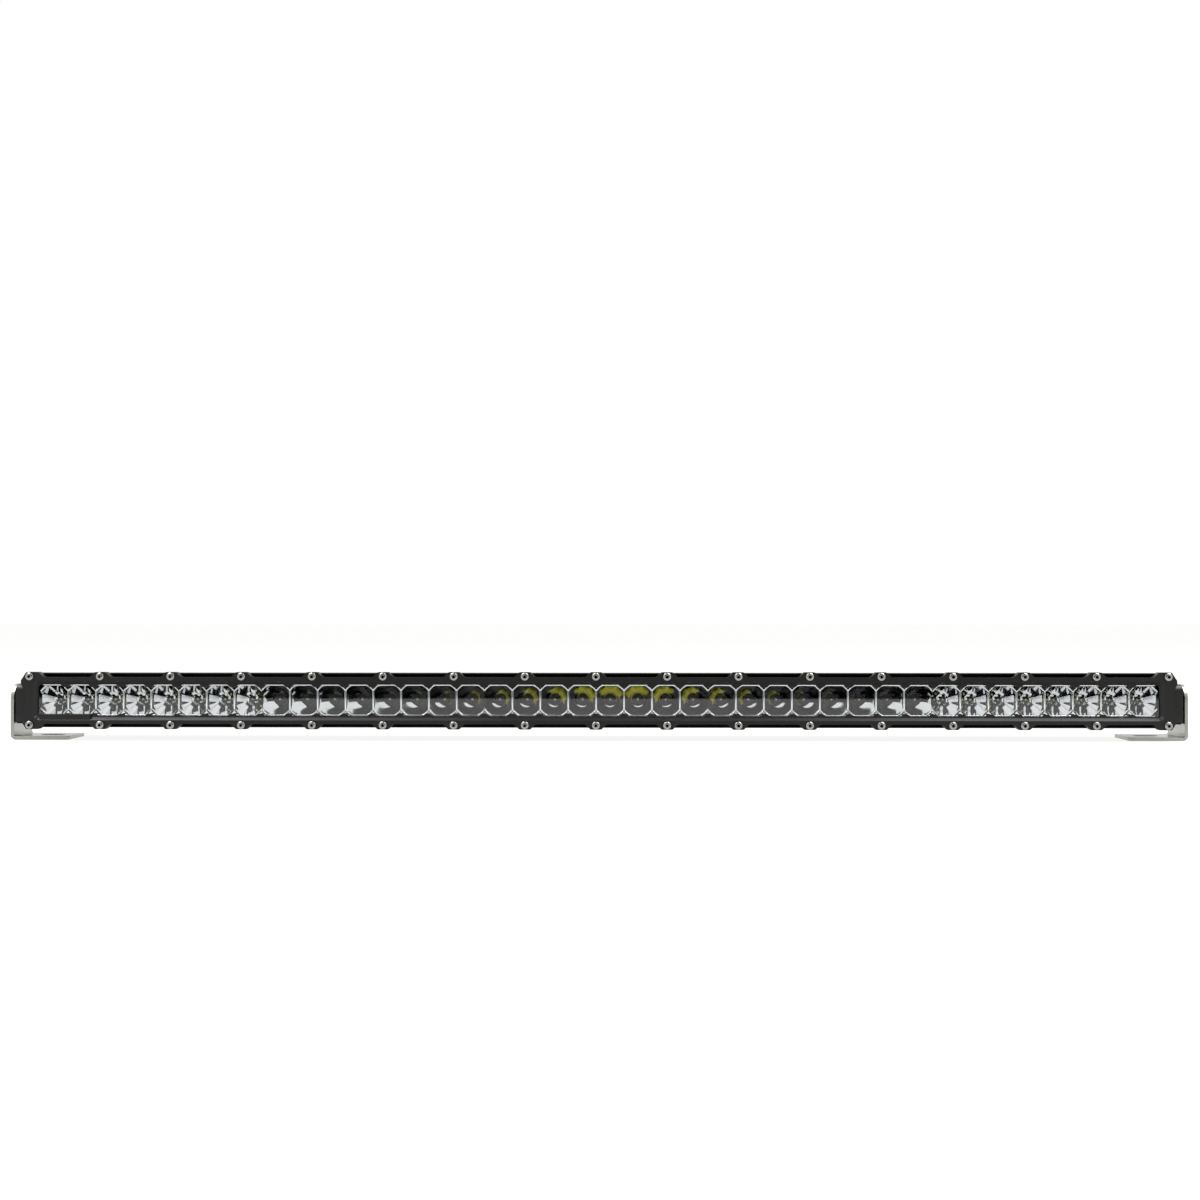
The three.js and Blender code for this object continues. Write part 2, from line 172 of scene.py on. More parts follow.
def plate(axis, start, end, *outlines):
    """A flat plate between two stations on an axis. The first outline is its edge, the rest holes."""
    bm = bmesh.new()
    at = AXES[axis]
    for outline in outlines:
        verts = [bm.verts.new(at(u, v, start)) for u, v in outline]
        for a, b in zip(verts, verts[1:] + verts[:1]):
            bm.edges.new((a, b))
    bmesh.ops.triangle_fill(bm, edges=bm.edges[:], use_beauty=True, use_dissolve=False)
    region = bmesh.ops.extrude_face_region(bm, geom=bm.faces[:])["geom"]
    raised = [g for g in region if isinstance(g, bmesh.types.BMVert)]
    bmesh.ops.translate(bm, verts=raised, vec=Vector(at(0, 0, end - start)))
    bmesh.ops.recalc_face_normals(bm, faces=bm.faces[:])
    return bm


def turned(axis, profile, steps, centre=(0, 0), closed=False):
    """A turned body: (station, radius) pairs spun a full turn round an axis."""
    bm = bmesh.new()
    at = AXES[axis]
    verts = [bm.verts.new(at(r, 0, w)) for w, r in profile]
    for a, b in zip(verts, verts[1:]):
        bm.edges.new((a, b))
    if closed:
        bm.edges.new((verts[-1], verts[0]))
    bmesh.ops.spin(bm, geom=bm.verts[:] + bm.edges[:], cent=(0, 0, 0), axis=at(0, 0, 1),
                   dvec=(0, 0, 0), angle=math.tau, steps=steps, use_merge=True)
    bmesh.ops.remove_doubles(bm, verts=bm.verts[:], dist=1e-4)
    bmesh.ops.recalc_face_normals(bm, faces=bm.faces[:])
    return moved(bm, Vector(at(*centre, 0)))


def moved(bm, way):
    """Shifts a whole body."""
    bmesh.ops.translate(bm, verts=bm.verts[:], vec=way)
    return bm


def swung(bm, angle, axis):
    """Turns a whole body about an axis through the origin."""
    bmesh.ops.rotate(bm, verts=bm.verts[:], matrix=Matrix.Rotation(angle, 3, axis))
    return bm


def block(low, high, bevel=0.0, segments=2):
    """A box between two corners, its edges rounded."""
    bm = bmesh.new()
    low, high = Vector(low), Vector(high)
    bmesh.ops.create_cube(bm, size=1)
    bmesh.ops.scale(bm, verts=bm.verts[:], vec=high - low)
    moved(bm, (low + high) / 2)
    if bevel:
        round_edges(bm, bm.edges[:], bevel, segments)
    return bm


def round_edges(bm, edges, offset, segments=2):
    """Bevels edges, to a flat chamfer if it has one segment."""
    bmesh.ops.bevel(bm, geom=edges, offset=offset, offset_type="OFFSET", segments=segments,
                    profile=0.5, affect="EDGES", clamp_overlap=True, material=-1)


def sharp_edges(bm, degrees=40, where=None):
    """The edges whose faces meet at more than an angle."""
    bm.normal_update()
    limit = math.radians(degrees)
    return [e for e in bm.edges if len(e.link_faces) == 2 and e.calc_face_angle() > limit
            and (where is None or all(where(v.co) for v in e.verts))]


def added(bm, *others):
    """bm with other bodies put in beside it."""
    for other in others:
        mesh = bpy.data.meshes.new("part")
        other.to_mesh(mesh)
        other.free()
        bm.from_mesh(mesh)
        bpy.data.meshes.remove(mesh)
    return bm


def copied(node):
    """A CAD node's shape with its flat faces whole again, ready for rounding."""
    bm = bmesh.new()
    bm.from_mesh(frame["nodes"][node].data)
    bmesh.ops.transform(bm, matrix=PLACE.inverted(), verts=bm.verts[:])
    bmesh.ops.remove_doubles(bm, verts=bm.verts[:], dist=1e-3)
    bmesh.ops.dissolve_limit(bm, angle_limit=math.radians(0.5), use_dissolve_boundaries=False,
                             verts=bm.verts[:], edges=bm.edges[:], delimit=set())
    return bm


def painted(bm, index):
    """Gives all of a body's faces the material in one of its piece's slots."""
    for face in bm.faces:
        face.material_index = index
    return bm


def piece(name, bm, materials, nodes=(), body=BAR, smooth=35, flat=True):
    """Places a finished mesh in the frame as a named piece that rides on a body.

    On a piece of flat faces with rounded edges the shading follows the large faces."""
    bmesh.ops.transform(bm, matrix=PLACE, verts=bm.verts[:])
    mesh = bpy.data.meshes.new(name)
    bm.to_mesh(mesh)
    bm.free()
    for maker in materials:
        mesh.materials.append(finish(maker))
    mesh.shade_smooth()
    mesh.set_sharp_from_angle(angle=math.radians(smooth))
    obj = bpy.data.objects.new(name, mesh)
    bpy.context.scene.collection.objects.link(obj)
    if flat:
        normals = obj.modifiers.new("flat faces", "WEIGHTED_NORMAL")
        normals.weight = 100
        normals.keep_sharp = True
    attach(obj, body)
    if nodes:
        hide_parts(*nodes)
    return obj


# ---------------------------------------------------------------- finishes

def add_node(tree, kind, settings=None, links=None, **attributes):
    """Adds a node, sets its attributes and sockets, and links sockets to what feeds them."""
    node = tree.nodes.new(kind)
    for name, value in attributes.items():
        setattr(node, name, value)
    for socket, value in (settings or {}).items():
        node.inputs[socket].default_value = value
    for socket, source in (links or {}).items():
        tree.links.new(source, node.inputs[socket])
    return node


def per(millimetre):
    """The scale that gives a pattern in object coordinates features of a real size."""
    return 1 / (millimetre * MM)


def finish(maker):
    """The material that a maker builds, made once and named after it."""
    name = maker.__name__
    found = bpy.data.materials.get(name)
    if found:
        return found
    material = bpy.data.materials.new(name)
    material.use_nodes = True
    tree = material.node_tree
    tree.nodes.clear()
    out = add_node(tree, "ShaderNodeOutputMaterial")
    where = add_node(tree, "ShaderNodeTexCoord").outputs["Object"]
    shader = maker(tree, where, bpy.context.scene.light_bar_colours)
    tree.links.new(shader, out.inputs["Surface"])
    return material


def rgba(rgb, gain=1.0):
    """A linear colour with full alpha, made lighter or darker by a gain."""
    return (*(min(c * gain, 1) for c in rgb), 1)


def powder_coated_aluminium(tree, where, colours):
    # Extruded aluminium under black powder coat: satin, with the shallow orange peel that
    # the powder leaves as it flows out, about 1.2 mm from crest to crest.
    peel = add_node(tree, "ShaderNodeTexNoise", {"Scale": per(1.2), "Detail": 2.0}, {"Vector": where})
    patch = add_node(tree, "ShaderNodeTexNoise", {"Scale": per(40), "Detail": 3.0}, {"Vector": where})
    tone = add_node(tree, "ShaderNodeValToRGB", links={"Fac": patch.outputs["Fac"]})
    tone.color_ramp.elements[0].color = rgba(colours.powder, 0.85)
    tone.color_ramp.elements[1].color = rgba(colours.powder, 1.2)
    sheen = add_node(tree, "ShaderNodeMapRange",
                     {"From Min": 0.3, "From Max": 0.7, "To Min": 0.4, "To Max": 0.52},
                     {"Value": peel.outputs["Fac"]})
    bump = add_node(tree, "ShaderNodeBump", {"Strength": 0.12, "Distance": 0.05 * MM},
                    {"Height": peel.outputs["Fac"]})
    return add_node(tree, "ShaderNodeBsdfPrincipled", {"IOR": 1.5, "Specular IOR Level": 0.35},
                    {"Base Color": tone.outputs["Color"], "Roughness": sheen.outputs["Result"],
                     "Normal": bump.outputs["Normal"]}).outputs["BSDF"]


def coated_die_casting(tree, where, colours):
    # Die-cast aluminium under black coat: smoother than the extrusion, with the fine grain
    # of the die, drawn at 0.5 mm so that it shows, and a slow drift in its sheen.
    grain = add_node(tree, "ShaderNodeTexNoise", {"Scale": per(0.5), "Detail": 3.0}, {"Vector": where})
    drift = add_node(tree, "ShaderNodeTexNoise", {"Scale": per(60), "Detail": 2.0}, {"Vector": where})
    tone = add_node(tree, "ShaderNodeValToRGB", links={"Fac": drift.outputs["Fac"]})
    tone.color_ramp.elements[0].color = rgba(colours.casting, 0.8)
    tone.color_ramp.elements[1].color = rgba(colours.casting, 1.25)
    sheen = add_node(tree, "ShaderNodeMapRange",
                     {"From Min": 0.3, "From Max": 0.7, "To Min": 0.36, "To Max": 0.44},
                     {"Value": drift.outputs["Fac"]})
    bump = add_node(tree, "ShaderNodeBump", {"Strength": 0.1, "Distance": 0.04 * MM},
                    {"Height": grain.outputs["Fac"]})
    return add_node(tree, "ShaderNodeBsdfPrincipled", {"IOR": 1.5, "Specular IOR Level": 0.35},
                    {"Base Color": tone.outputs["Color"], "Roughness": sheen.outputs["Result"],
                     "Normal": bump.outputs["Normal"]}).outputs["BSDF"]


def moulded_polycarbonate(tree, where, colours):
    # Moulded clear polycarbonate: it shows what is behind it and mirrors like glass. The
    # mirror is on the outward face alone, with an index raised to count both faces.
    both_faces = 1.8
    fresnel = add_node(tree, "ShaderNodeFresnel", {"IOR": both_faces})
    facing = add_node(tree, "ShaderNodeNewGeometry")
    share = add_node(tree, "ShaderNodeMath", operation="SUBTRACT", use_clamp=True,
                     links={0: fresnel.outputs["Fac"], 1: facing.outputs["Backfacing"]})
    ripple = add_node(tree, "ShaderNodeTexNoise", {"Scale": per(30), "Detail": 1.0}, {"Vector": where})
    bump = add_node(tree, "ShaderNodeBump", {"Strength": 0.02, "Distance": 0.05 * MM},
                    {"Height": ripple.outputs["Fac"]})
    clear = add_node(tree, "ShaderNodeBsdfTransparent", {"Color": (0.985, 0.99, 0.99, 1)})
    gloss = add_node(tree, "ShaderNodeBsdfGlossy", {"Roughness": 0.02},
                     {"Normal": bump.outputs["Normal"]})
    return add_node(tree, "ShaderNodeMixShader",
                    links={0: share.outputs["Value"], 1: clear.outputs["BSDF"],
                           2: gloss.outputs["BSDF"]}).outputs["Shader"]


def metallised_reflector(tree, where, colours):
    # Vacuum-metallised moulding: an almost perfect mirror that dulls a little in patches
    # a few millimetres wide, where the film is thin.
    film = add_node(tree, "ShaderNodeTexNoise", {"Scale": per(6), "Detail": 3.0}, {"Vector": where})
    dull = add_node(tree, "ShaderNodeMapRange",
                    {"From Min": 0.35, "From Max": 0.75, "To Min": 0.035, "To Max": 0.09},
                    {"Value": film.outputs["Fac"]})
    return add_node(tree, "ShaderNodeBsdfPrincipled",
                    {"Metallic": 1.0, "Base Color": rgba(colours.chrome)},
                    {"Roughness": dull.outputs["Result"]}).outputs["BSDF"]


def turned_stainless_steel(tree, where, colours):
    # Bright stainless fasteners: fine turning marks 0.15 mm apart, drawn at 0.35 mm.
    marks = add_node(tree, "ShaderNodeTexNoise", {"Scale": per(0.35), "Detail": 2.0}, {"Vector": where})
    dull = add_node(tree, "ShaderNodeMapRange",
                    {"From Min": 0.3, "From Max": 0.7, "To Min": 0.2, "To Max": 0.34},
                    {"Value": marks.outputs["Fac"]})
    bump = add_node(tree, "ShaderNodeBump", {"Strength": 0.1, "Distance": 0.02 * MM},
                    {"Height": marks.outputs["Fac"]})
    return add_node(tree, "ShaderNodeBsdfPrincipled",
                    {"Metallic": 1.0, "Base Color": rgba(colours.steel)},
                    {"Roughness": dull.outputs["Result"], "Normal": bump.outputs["Normal"]},
                    ).outputs["BSDF"]


def rolled_stainless_plate(tree, where, colours):
    # Cold-rolled plate, plain mill finish: a faint grain along the roll, 0.4 mm apart and
    # some 15 mm long, over cloudy patches in its sheen.
    stretch = add_node(tree, "ShaderNodeMapping", {"Scale": (per(15), per(0.4), per(0.4))},
                       {"Vector": where})
    grain = add_node(tree, "ShaderNodeTexNoise", {"Scale": 1.0, "Detail": 2.0},
                     {"Vector": stretch.outputs["Vector"]})
    cloud = add_node(tree, "ShaderNodeTexNoise", {"Scale": per(14), "Detail": 3.0}, {"Vector": where})
    tone = add_node(tree, "ShaderNodeValToRGB", links={"Fac": cloud.outputs["Fac"]})
    tone.color_ramp.elements[0].color = rgba(colours.sheet, 0.9)
    tone.color_ramp.elements[1].color = rgba(colours.sheet, 1.06)
    dull = add_node(tree, "ShaderNodeMapRange",
                    {"From Min": 0.3, "From Max": 0.7, "To Min": 0.18, "To Max": 0.3},
                    {"Value": grain.outputs["Fac"]})
    bump = add_node(tree, "ShaderNodeBump", {"Strength": 0.15, "Distance": 0.02 * MM},
                    {"Height": grain.outputs["Fac"]})
    return add_node(tree, "ShaderNodeBsdfPrincipled", {"Metallic": 1.0},
                    {"Base Color": tone.outputs["Color"], "Roughness": dull.outputs["Result"],
                     "Normal": bump.outputs["Normal"]}).outputs["BSDF"]


def silicone_rubber(tree, where, colours):
    # Cut silicone sheet: dead matt, with a speckle of talc under a millimetre across.
    speck = add_node(tree, "ShaderNodeTexNoise", {"Scale": per(0.8), "Detail": 3.0}, {"Vector": where})
    tone = add_node(tree, "ShaderNodeValToRGB", links={"Fac": speck.outputs["Fac"]})
    tone.color_ramp.elements[0].color = rgba(colours.rubber, 0.9)
    tone.color_ramp.elements[1].color = rgba(colours.rubber, 1.8)
    return add_node(tree, "ShaderNodeBsdfPrincipled", {"Roughness": 0.85, "IOR": 1.43},
                    {"Base Color": tone.outputs["Color"]}).outputs["BSDF"]


def moulded_nylon(tree, where, colours):
    # Black nylon from a spark-eroded mould: an even matt texture, drawn at 0.6 mm.
    spark = add_node(tree, "ShaderNodeTexVoronoi", {"Scale": per(0.6)}, {"Vector": where})
    dull = add_node(tree, "ShaderNodeMapRange", {"To Min": 0.5, "To Max": 0.66},
                    {"Value": spark.outputs["Distance"]})
    bump = add_node(tree, "ShaderNodeBump", {"Strength": 0.2, "Distance": 0.04 * MM},
                    {"Height": spark.outputs["Distance"]})
    return add_node(tree, "ShaderNodeBsdfPrincipled",
                    {"IOR": 1.53, "Base Color": rgba(colours.nylon)},
                    {"Roughness": dull.outputs["Result"], "Normal": bump.outputs["Normal"]},
                    ).outputs["BSDF"]


def black_masked_board(tree, where, colours):
    # Black solder mask on the emitter boards: semi-matt, with faint copper relief below it
    # in 4 mm runs.
    relief = add_node(tree, "ShaderNodeTexBrick",
                      {"Scale": per(4), "Mortar Size": 0.03}, {"Vector": where})
    tone = add_node(tree, "ShaderNodeMixRGB",
                    {"Color1": (*linear("0C0D0E"), 1), "Color2": (*linear("1B1D1F"), 1)},
                    {"Fac": relief.outputs["Fac"]})
    return add_node(tree, "ShaderNodeBsdfPrincipled", {"Roughness": 0.5, "IOR": 1.5},
                    {"Base Color": tone.outputs["Color"]}).outputs["BSDF"]


def green_masked_board(tree, where, colours):
    # Green solder mask: glossy epoxy over copper runs, lighter where copper lies below.
    runs = add_node(tree, "ShaderNodeTexVoronoi", {"Scale": per(5)}, {"Vector": where},
                    distance="MANHATTAN")
    tone = add_node(tree, "ShaderNodeValToRGB", links={"Fac": runs.outputs["Distance"]})
    tone.color_ramp.elements[0].color = (*linear("2E7A4A"), 1)
    tone.color_ramp.elements[1].color = (*linear("17452A"), 1)
    return add_node(tree, "ShaderNodeBsdfPrincipled", {"Roughness": 0.3, "IOR": 1.5},
                    {"Base Color": tone.outputs["Color"]}).outputs["BSDF"]


def phosphor_silicone(tree, where, colours):
    # Phosphor-filled silicone over an emitter's die: greenish yellow powder in a clear gel,
    # so it has a soft body under a wet gloss.
    powder = add_node(tree, "ShaderNodeTexNoise", {"Scale": per(0.3), "Detail": 2.0}, {"Vector": where})
    tone = add_node(tree, "ShaderNodeValToRGB", links={"Fac": powder.outputs["Fac"]})
    tone.color_ramp.elements[0].color = rgba(colours.phosphor, 0.9)
    tone.color_ramp.elements[1].color = rgba(colours.phosphor, 1.1)
    return add_node(tree, "ShaderNodeBsdfPrincipled",
                    {"Roughness": 0.4, "IOR": 1.41, "Coat Weight": 1.0, "Coat Roughness": 0.03},
                    {"Base Color": tone.outputs["Color"]}).outputs["BSDF"]


def grey_ceramic(tree, where, colours):
    # Dark aluminium nitride base of an emitter: dull, with a fine fired grain.
    grain = add_node(tree, "ShaderNodeTexNoise", {"Scale": per(0.4), "Detail": 2.0}, {"Vector": where})
    tone = add_node(tree, "ShaderNodeValToRGB", links={"Fac": grain.outputs["Fac"]})
    tone.color_ramp.elements[0].color = (*linear("1E1F22"), 1)
    tone.color_ramp.elements[1].color = (*linear("2B2C30"), 1)
    return add_node(tree, "ShaderNodeBsdfPrincipled", {"Roughness": 0.6, "IOR": 1.7},
                    {"Base Color": tone.outputs["Color"]}).outputs["BSDF"]


def black_epoxy(tree, where, colours):
    # Moulded epoxy of chips and chokes: dull black with a sandy grain.
    grain = add_node(tree, "ShaderNodeTexNoise", {"Scale": per(0.4), "Detail": 2.0}, {"Vector": where})
    dull = add_node(tree, "ShaderNodeMapRange", {"To Min": 0.45, "To Max": 0.65},
                    {"Value": grain.outputs["Fac"]})
    return add_node(tree, "ShaderNodeBsdfPrincipled",
                    {"Base Color": (*linear("1D1E20"), 1), "IOR": 1.55},
                    {"Roughness": dull.outputs["Result"]}).outputs["BSDF"]


def aluminium_can(tree, where, colours):
    # Drawn aluminium can of an electrolytic capacitor: soft satin metal.
    draw = add_node(tree, "ShaderNodeTexNoise", {"Scale": per(0.5), "Detail": 2.0}, {"Vector": where})
    dull = add_node(tree, "ShaderNodeMapRange", {"To Min": 0.25, "To Max": 0.4},
                    {"Value": draw.outputs["Fac"]})
    return add_node(tree, "ShaderNodeBsdfPrincipled",
                    {"Metallic": 1.0, "Base Color": (*linear("CDD0D2"), 1)},
                    {"Roughness": dull.outputs["Result"]}).outputs["BSDF"]


# ---------------------------------------------------------------- pieces

def screw_places():
    """The centre of each bezel screw, as (row, number, x, z)."""
    for row in ROWS:
        for number in range(1, SCREWS_PER_ROW + 1):
            low, high = span(f"bezel_screw_{row}_{number:02d}")
            yield row, number, (low.x + high.x) / 2, (low.z + high.z) / 2


def cup_places():
    """The centre of each cup along the bar."""
    for name in REFLECTORS:
        low, high = span(f"reflector_{name}")
        first = (low.x + high.x) / 2 - (CUPS_PER_REFLECTOR - 1) / 2 * CUP_PITCH
        for i in range(CUPS_PER_REFLECTOR):
            yield first + i * CUP_PITCH


def ring_out(bm, edges, radius, y, sides=0):
    """Extrudes a ring of edges and sets it to a radius, or to a polygon's apothem, at y."""
    grown = bmesh.ops.extrude_edge_only(bm, edges=edges)["geom"]
    for vert in (g for g in grown if isinstance(g, bmesh.types.BMVert)):
        angle = math.atan2(vert.co.z, vert.co.x)
        reach = radius
        if sides:
            sector = math.tau / sides
            reach = radius / math.cos((angle % sector) - sector / 2)
        vert.co = (reach * math.cos(angle), y, reach * math.sin(angle))
    return [g for g in grown if isinstance(g, bmesh.types.BMEdge) and g.is_boundary
            and all(abs(v.co.y - y) < 1e-6 for v in g.verts)]


def button_head(front, seat, radius, across):
    """A button-head screw along Y: domed head, hex socket and a short shank."""
    bm = bmesh.new()
    height = seat - front
    shank_radius = radius * 0.5
    shank_length = 3.0
    socket_chamfer = 0.15
    socket_depth = 1.3
    bmesh.ops.create_circle(bm, cap_ends=False, radius=radius * 0.52, segments=24)
    moved(swung(bm, math.pi / 2, "X"), (0, front, 0))
    edges = bm.edges[:]
    dome = [(0.72, 0.1), (0.9, 0.34), (0.99, 0.68), (1.0, 0.9), (0.97, 1.0)]
    for width, drop in dome:
        edges = ring_out(bm, edges, radius * width, front + height * drop)
    edges = ring_out(bm, edges, shank_radius, seat)
    edges = ring_out(bm, edges, shank_radius, seat + shank_length)
    bmesh.ops.holes_fill(bm, edges=edges, sides=0)
    rim = [e for e in bm.edges if e.is_boundary]
    rim = ring_out(bm, rim, across / 2, front + socket_chamfer, sides=6)
    rim = ring_out(bm, rim, across / 2 * 0.98, front + socket_depth, sides=6)
    bmesh.ops.holes_fill(bm, edges=rim, sides=0)
    bmesh.ops.recalc_face_normals(bm, faces=bm.faces[:])
    return bm


def bezel_edge():
    """The bezel's outer outline, stepping out to an ear at each screw."""
    fillet = bpy.context.scene.light_bar_sizes.ear_fillet / MM
    high = span("bezel")[1]
    ear, end = high.z, high.x
    ear_round = 1.5
    end_round = 1.2
    relief_depth, relief_inner, relief_outer, relief_round = 5, 4, 15, 3
    slope_run, slope_drop = 4.8, 7.4
    xs = sorted(x for row, _, x, _ in screw_places() if row == "top")
    corner = xs[0] + EAR_TOP + 3
    # From the relief in the end face, up past the sloping corner, to the first waist.
    left = [(-end + relief_depth, relief_inner, relief_round), (-end, relief_outer, end_round),
            (-end, ear - slope_drop, end_round), (-end + slope_run, ear, end_round),
            (corner, ear, ear_round), (corner + EAR_BASE - EAR_TOP, BEZEL_WAIST, fillet)]
    ears = []
    for x in xs[1:-1]:
        ears += [(x - EAR_BASE, BEZEL_WAIST, fillet), (x - EAR_TOP, ear, ear_round),
                 (x + EAR_TOP, ear, ear_round), (x + EAR_BASE, BEZEL_WAIST, fillet)]
    upper = left + ears + [(-x, z, r) for x, z, r in reversed(left)]
    return rounded(upper + [(x, -z, r) for x, z, r in reversed(upper)])


def toothed_window():
    """The window's outline, with a bump between every two cups at top and bottom."""
    sizes = bpy.context.scene.light_bar_sizes
    half = sizes.tooth_width / MM / 2
    crest = half * 0.45
    height = sizes.tooth_height / MM
    foot_round, crest_round, corner_round = 1.2, 2, 3
    x_end, z_end = WINDOW
    bumps = []
    for i in range(1, int(2 * x_end / CUP_PITCH)):
        x = -x_end + i * CUP_PITCH
        bumps += [(x - half, z_end, foot_round), (x - crest, z_end - height, crest_round),
                  (x + crest, z_end - height, crest_round), (x + half, z_end, foot_round)]
    upper = [(-x_end, z_end, corner_round), *bumps, (x_end, z_end, corner_round)]
    return rounded(upper + [(x, -z, r) for x, z, r in reversed(upper)], steps=3)


def rectangle(x, z, radius=0):
    """A centred rectangle from its half length and half height, its corners rounded."""
    corners = [(-x, -z), (x, -z), (x, z), (-x, z)]
    return rounded([(*c, radius) for c in corners]) if radius else corners


class LIGHTBAR_OT_bezel(bpy.types.Operator):
    """Build the scalloped bezel with its sloping lip, bumps and blank plaque"""

    bl_idname = "light_bar.bezel"
    bl_label = "Bezel"

    def execute(self, context):
        sizes = context.scene.light_bar_sizes
        low, high = span("bezel")
        lens_low, lens_high = span("lens")
        x_end, z_end = WINDOW
        front = low.y + 1e-3
        rim, end_rim = 5.0, 9.0     # what the lip leaves flat beside the window and at its ends
        ledge = lens_low.y - GAP

        def on_lip(c):
            return c.y < front and abs(c.x) < x_end + 1 and abs(c.z) < z_end + 1

        def on_outline(c):
            return c.y < front and (abs(c.x) > x_end + end_rim or abs(c.z) > z_end + rim)

        def in_recess(c):
            return c.y < front and abs(c.x) < x_end and z_end + rim < c.z < high.z - 0.3

        frame_front = plate("y", low.y, ledge, bezel_edge(), rectangle(x_end + GAP, z_end + GAP, 2.5))
        round_edges(frame_front, sharp_edges(frame_front, 60, on_lip), sizes.lip_width / MM, 1)
        outline = [e for e in sharp_edges(frame_front, 60, on_outline)
                   if not all(in_recess(v.co) for v in e.verts)]
        round_edges(frame_front, outline, sizes.edge_radius / MM, 3)
        recesses = sharp_edges(frame_front, 60, in_recess)
        round_edges(frame_front, recesses, sizes.recess_chamfer / MM, 1)

        rebate = rectangle(lens_high.x + GAP, lens_high.z + GAP)
        frame_back = plate("y", ledge, high.y, bezel_edge(), rebate)

        bump_front = lens_low.y - 1.5
        bumps = plate("y", bump_front, ledge - 0.02, rectangle(x_end + 2, z_end + 2), toothed_window())
        bump_edges = sharp_edges(bumps, 60, lambda c: c.y < bump_front + 0.1 and abs(c.z) < z_end + 1)
        round_edges(bumps, bump_edges, 0.35, 2)

        left, below = -x_end + 2, -z_end - 3.4
        plaque = block((left, low.y + 0.2, below),
                       (left + sizes.plaque_length / MM, ledge, below + sizes.plaque_height / MM),
                       0.6, 3)
        piece("bezel_frame", added(frame_front, frame_back, bumps, plaque), [coated_die_casting],
              ["bezel"])
        return {"FINISHED"}


class LIGHTBAR_OT_bezel_screws(bpy.types.Operator):
    """Build the button-head screws in the bezel's ears"""

    bl_idname = "light_bar.bezel_screws"
    bl_label = "Bezel screws"

    def execute(self, context):
        seat = span("bezel")[0].y - 0.04
        across = context.scene.light_bar_sizes.socket_across / MM
        head_inset = 0.15
        for row, number, x, z in screw_places():
            node = f"bezel_screw_{row}_{number:02d}"
            low, high = span(node)
            bm = button_head(low.y + head_inset, seat, (high.z - low.z) / 2, across)
            # Each socket has come to rest at its own angle.
            swung(bm, math.radians(37 * number + 11 * (z > 0)), "Y")
            moved(bm, (x, 0, z))
            piece(f"screw_{row}_{number:02d}", bm, [turned_stainless_steel],
                  [node])
        return {"FINISHED"}


class LIGHTBAR_OT_lens(bpy.types.Operator):
    """Build the clear lens and the gasket behind it"""

    bl_idname = "light_bar.lens"
    bl_label = "Lens and gasket"

    def execute(self, context):
        low, high = span("lens")
        piece("clear_lens", block(low, high, 0.4, 2), [moulded_polycarbonate],
              ["lens"])
        bm = copied("lens_gasket")
        round_edges(bm, sharp_edges(bm, 60), 0.15, 2)
        piece("lens_seal", bm, [silicone_rubber], ["lens_gasket"])
        return {"FINISHED"}


def cup_cell(front, back, focus, faceted, bead, steps):
    """One reflector cup in a flange that is cut to its square afterwards."""
    rim = 14.0 if faceted else 14.7
    vertex = front + rim * rim / (4 * focus)
    throat = math.sqrt(4 * focus * (vertex - back))
    flange = 24.0
    profile = [(front, flange), (front, rim + bead), (front - 0.3, rim + bead * 0.85),
               (front - 0.45, rim + bead * 0.5), (front - 0.3, rim + bead * 0.15)]
    rings = 12
    for i in range(rings + 1):
        r = rim + (throat - rim) * i / rings
        profile.append((vertex - r * r / (4 * focus), r))
    profile.append((back, flange))
    if faceted:
        steps = 8
        profile = [(w, r / math.cos(math.pi / steps)) for w, r in profile]
    bm = turned("y", profile, steps, closed=True)
    if faceted:
        swung(bm, math.pi / steps, "Y")
    return bm


def trimmed(bm, normal, distance, filled):
    """Cuts a body off beyond a plane and closes the cut if asked."""
    normal = Vector(normal)
    cut = bmesh.ops.bisect_plane(bm, geom=bm.verts[:] + bm.edges[:] + bm.faces[:], dist=1e-4,
                                 plane_co=normal * distance, plane_no=normal, clear_outer=True)
    if filled:
        edges = [g for g in cut["geom_cut"] if isinstance(g, bmesh.types.BMEdge)]
        filling = bmesh.ops.holes_fill(bm, edges=edges, sides=0)["faces"]
        bmesh.ops.triangulate(bm, faces=filling)
    return bm


def cup_row(cell, centre):
    """Cup cells side by side along X, joined where they touch."""
    mesh = bpy.data.meshes.new("cell")
    cell.to_mesh(mesh)
    cell.free()
    bm = bmesh.new()
    for i in range(CUPS_PER_REFLECTOR):
        start = len(bm.verts)
        bm.from_mesh(mesh)
        bm.verts.ensure_lookup_table()
        x = centre + (i - (CUPS_PER_REFLECTOR - 1) / 2) * CUP_PITCH
        bmesh.ops.translate(bm, verts=bm.verts[start:], vec=(x, 0, 0))
    bpy.data.meshes.remove(mesh)
    bmesh.ops.remove_doubles(bm, verts=bm.verts[:], dist=2e-3)
    return bm


